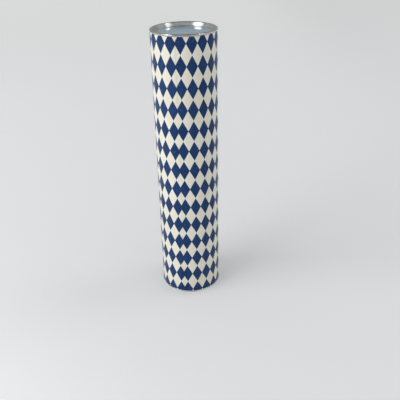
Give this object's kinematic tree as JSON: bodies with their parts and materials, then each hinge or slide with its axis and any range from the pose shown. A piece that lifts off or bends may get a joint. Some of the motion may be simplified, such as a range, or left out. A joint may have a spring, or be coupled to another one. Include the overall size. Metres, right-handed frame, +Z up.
{
  "type": "tube kaleidoscope",
  "caption": "Upright toy kaleidoscope: a card tube in a diamond-printed wrap with tinplate rims, a frosted object end, loose coloured glass, a mirror tunnel and an eye hole.",
  "frame": {"origin": "centre of the ring that the kaleidoscope stands on, in the plane of the eye end's rim", "axes": "+Z up the tube from the eye end to the object end, -Y towards the side with the wrap's seam left of centre, +X to the right seen from there"},
  "size_m": [0.0522, 0.0522, 0.2286],
  "materials": {
    "printed_paper": "navy and off-white diamonds printed on smooth paper, slightly aged, with a soft sheen",
    "tube_card": "plain grey-brown wound card",
    "black_card": "matt black card",
    "tinplate": "bright tinplate with fine rolling marks and light wear",
    "frosted_glass": "smooth outside and ground inside, pale blue-grey",
    "clear_glass": "clear and polished",
    "spacer_card": "thin pressed card",
    "silvered_mirror": "silvered glass with a painted back",
    "cloth_tape": "woven bookbinding tape",
    "packing_card": "fluted card",
    "ruby_glass": "polished faces and broken edges",
    "cobalt_glass": "polished faces and broken edges",
    "amber_glass": "fire-polished rod",
    "emerald_glass": "polished faces and broken edges",
    "opal_glass": "milky pressed glass",
    "violet_glass": "polished faces and broken edges",
    "turquoise_glass": "polished faces and broken edges",
    "gold_glass": "polished faces and broken edges",
    "scarlet_glass": "pressed glass",
    "sky_glass": "fire-polished rod",
    "lime_glass": "polished faces and broken edges",
    "rose_glass": "polished faces and broken edges",
    "yellow_glass": "pressed glass"
  },
  "bodies": {
    "tube": {"printed_wrap": "printed_paper", "body_tube": "tube_card", "liner_tube": "black_card", "object_end_ring": "tinplate", "eye_end_cap": "tinplate", "frosted_end_glass": "frosted_glass", "cell_spacer_ring": "spacer_card", "inner_clear_glass": "clear_glass", "eye_window": "clear_glass", "eye_mask_card": "black_card", "mirror_1": "silvered_mirror", "mirror_2": "silvered_mirror", "mirror_3": "silvered_mirror", "tape_band_1": "cloth_tape", "tape_band_2": "cloth_tape", "tape_band_3": "cloth_tape", "packing_roll_1": "packing_card", "packing_roll_2": "packing_card", "packing_roll_3": "packing_card"},
    "ruby_splinter": {"ruby_splinter": "ruby_glass"},
    "cobalt_splinter": {"cobalt_splinter": "cobalt_glass"},
    "amber_rod": {"amber_rod": "amber_glass"},
    "emerald_splinter": {"emerald_splinter": "emerald_glass"},
    "opal_bead": {"opal_bead": "opal_glass"},
    "violet_splinter": {"violet_splinter": "violet_glass"},
    "turquoise_splinter": {"turquoise_splinter": "turquoise_glass"},
    "gold_splinter": {"gold_splinter": "gold_glass"},
    "scarlet_bead": {"scarlet_bead": "scarlet_glass"},
    "sky_rod": {"sky_rod": "sky_glass"},
    "lime_splinter": {"lime_splinter": "lime_glass"},
    "rose_splinter": {"rose_splinter": "rose_glass"},
    "yellow_bead": {"yellow_bead": "yellow_glass"}
  },
  "joints": [
    {"name": "outer_lane_orbit", "type": "hinge", "parent": "tube", "child": "ruby_splinter", "pos_m": [0, 0, 0.2159], "axis": [0, 0, 1], "continuous": true},
    {"name": "middle_lane_orbit", "type": "hinge", "parent": "tube", "child": "gold_splinter", "pos_m": [0, 0, 0.2159], "axis": [0, 0, 1], "continuous": true},
    {"name": "inner_lane_orbit", "type": "hinge", "parent": "tube", "child": "rose_splinter", "pos_m": [0, 0, 0.2158], "axis": [0, 0, 1], "continuous": true},
    {"name": "cobalt_splinter_fall", "type": "slide", "parent": "ruby_splinter", "child": "cobalt_splinter", "axis": [0, 0, 1], "range_m": [0, 0.0063]},
    {"name": "amber_rod_fall", "type": "slide", "parent": "ruby_splinter", "child": "amber_rod", "axis": [0, 0, 1], "range_m": [0, 0.0057]},
    {"name": "emerald_splinter_fall", "type": "slide", "parent": "ruby_splinter", "child": "emerald_splinter", "axis": [0, 0, 1], "range_m": [0, 0.0059]},
    {"name": "opal_bead_fall", "type": "slide", "parent": "ruby_splinter", "child": "opal_bead", "axis": [0, 0, 1], "range_m": [0, 0.0055]},
    {"name": "violet_splinter_fall", "type": "slide", "parent": "ruby_splinter", "child": "violet_splinter", "axis": [0, 0, 1], "range_m": [0, 0.0065]},
    {"name": "turquoise_splinter_fall", "type": "slide", "parent": "ruby_splinter", "child": "turquoise_splinter", "axis": [0, 0, 1], "range_m": [0, 0.0062]},
    {"name": "scarlet_bead_fall", "type": "slide", "parent": "gold_splinter", "child": "scarlet_bead", "axis": [0, 0, 1], "range_m": [0, 0.0057]},
    {"name": "sky_rod_fall", "type": "slide", "parent": "gold_splinter", "child": "sky_rod", "axis": [0, 0, 1], "range_m": [0, 0.0059]},
    {"name": "lime_splinter_fall", "type": "slide", "parent": "gold_splinter", "child": "lime_splinter", "axis": [0, 0, 1], "range_m": [0, 0.0064]},
    {"name": "yellow_bead_fall", "type": "slide", "parent": "rose_splinter", "child": "yellow_bead", "axis": [0, 0, 1], "range_m": [0, 0.0059]}
  ]
}
